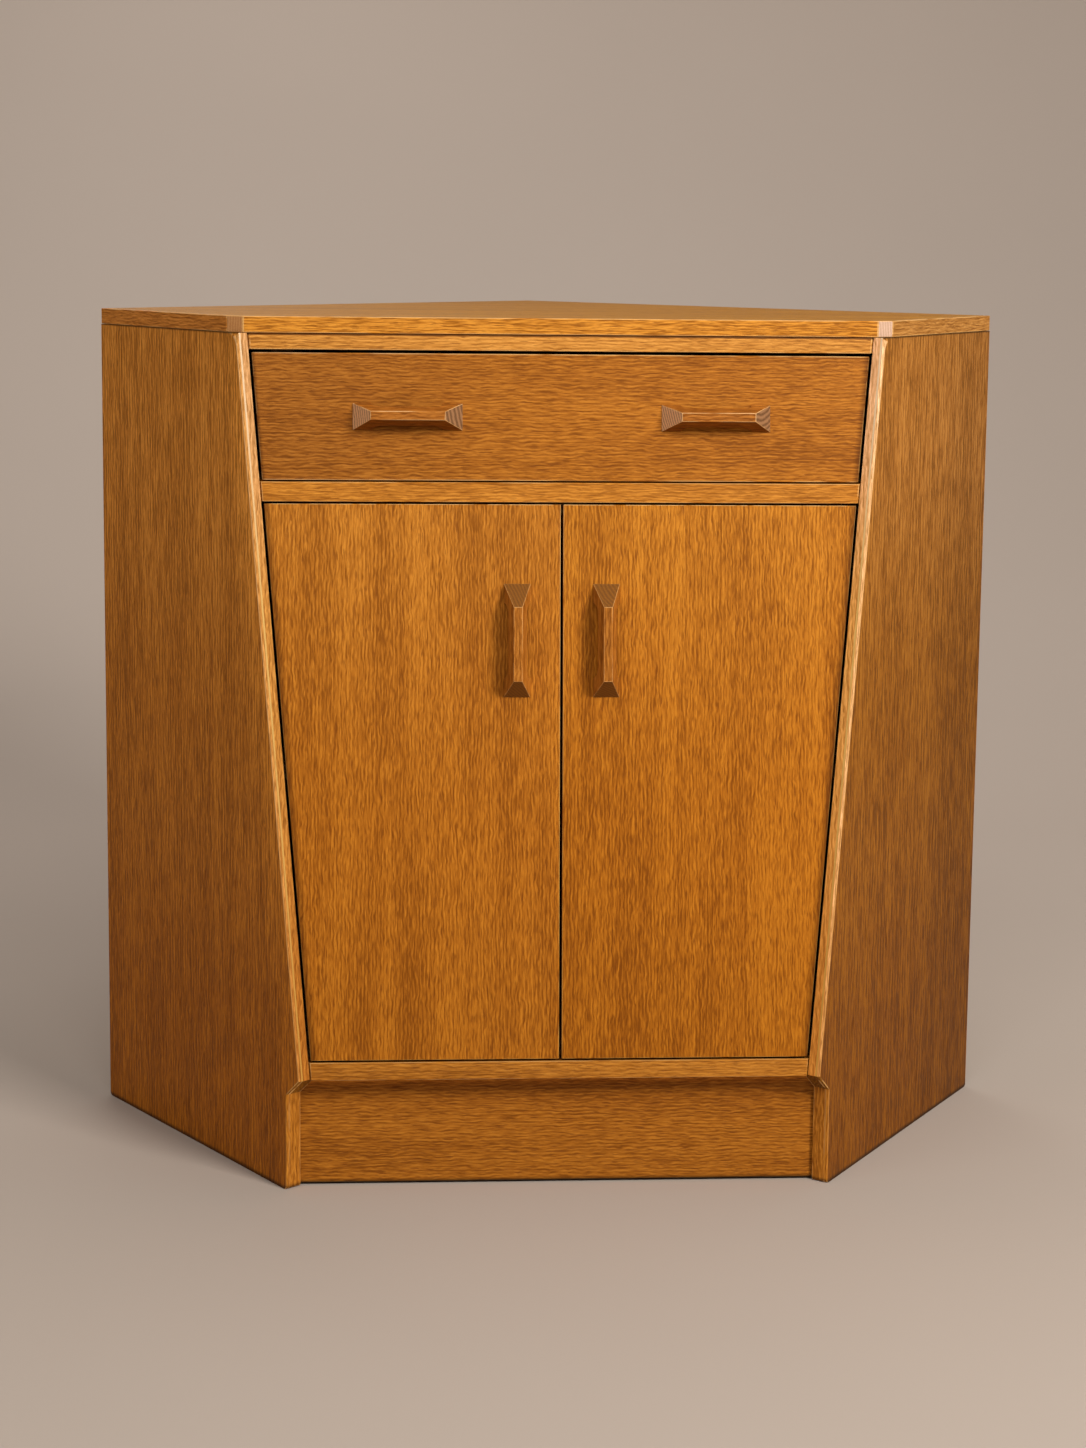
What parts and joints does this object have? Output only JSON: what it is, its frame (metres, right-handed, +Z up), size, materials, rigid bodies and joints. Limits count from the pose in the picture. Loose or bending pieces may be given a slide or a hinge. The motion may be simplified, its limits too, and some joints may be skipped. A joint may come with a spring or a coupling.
{
  "type": "corner cupboard",
  "caption": "Corner cupboard with a right-angled back, splayed side panels, and a front that leans out towards its plinth, holding a wide drawer over a pair of hinged doors.",
  "frame": {"origin": "on the floor, under the centre of the bounding box", "axes": "+X to the right seen from the front, +Y back into the corner of the room, +Z up; the doors and drawer face -Y"},
  "size_m": [0.85, 0.693, 0.77],
  "materials": {
    "top_veneer": "satin oak veneer, faded on top",
    "edge_wood": "satin oak, straight grained",
    "side_veneer": "satin oak veneer, upright grain",
    "door_veneer": "satin oak veneer, upright grain",
    "drawer_veneer": "satin oak veneer, level grain",
    "plinth_veneer": "satin oak veneer, level grain",
    "handle_wood": "satin, worn on the arrises",
    "inner_board": "matt plywood",
    "batten_wood": "bare softwood",
    "steel": "dull"
  },
  "bodies": {
    "carcase": {"top_board": "top_veneer", "top_front_lipping": "edge_wood", "top_left_lipping": "edge_wood", "top_right_lipping": "edge_wood", "left_side_panel": "side_veneer", "right_side_panel": "side_veneer", "left_back_panel": "inner_board", "right_back_panel": "inner_board", "corner_post": "batten_wood", "bottom_board": "inner_board", "divider_board": "inner_board", "shelf": "inner_board", "top_rail": "edge_wood", "middle_rail": "edge_wood", "bottom_rail": "edge_wood", "plinth": "plinth_veneer", "door_catch": "steel", "left_plinth_block": "batten_wood", "left_shelf_bearer": "batten_wood", "left_rear_shelf_bearer": "batten_wood", "left_top_block": "batten_wood", "left_drawer_runner": "batten_wood", "left_drawer_kicker": "batten_wood", "left_upper_pivot": "steel", "left_lower_pivot": "steel", "right_plinth_block": "batten_wood", "right_shelf_bearer": "batten_wood", "right_rear_shelf_bearer": "batten_wood", "right_top_block": "batten_wood", "right_drawer_runner": "batten_wood", "right_drawer_kicker": "batten_wood", "right_upper_pivot": "steel", "right_lower_pivot": "steel"},
    "drawer": {"drawer_front": "drawer_veneer", "drawer_left_side": "inner_board", "drawer_right_side": "inner_board", "drawer_bottom": "inner_board", "drawer_back": "inner_board", "drawer_left_handle": "handle_wood", "drawer_left_handle_screw_1": "steel", "drawer_left_handle_screw_2": "steel", "drawer_right_handle": "handle_wood", "drawer_right_handle_screw_1": "steel", "drawer_right_handle_screw_2": "steel"},
    "left_door": {"left_door_panel": "door_veneer", "left_door_handle": "handle_wood", "left_door_handle_screw_1": "steel", "left_door_handle_screw_2": "steel", "left_door_upper_socket": "steel", "left_door_lower_socket": "steel", "left_door_strike": "steel"},
    "right_door": {"right_door_panel": "door_veneer", "right_door_handle": "handle_wood", "right_door_handle_screw_1": "steel", "right_door_handle_screw_2": "steel", "right_door_upper_socket": "steel", "right_door_lower_socket": "steel", "right_door_strike": "steel"}
  },
  "joints": [
    {"name": "drawer_slide", "type": "slide", "parent": "carcase", "child": "drawer", "axis": [0, -1, 0], "range_m": [0, 0.25]},
    {"name": "left_door_hinge", "type": "hinge", "parent": "carcase", "child": "left_door", "pos_m": [-0.23126, -0.30292, 0.35905], "axis": [0.0856, -0.1179, -0.9893], "range_deg": [0, 105]},
    {"name": "right_door_hinge", "type": "hinge", "parent": "carcase", "child": "right_door", "pos_m": [0.23126, -0.30292, 0.35905], "axis": [0.0856, 0.1179, 0.9893], "range_deg": [0, 105]}
  ]
}
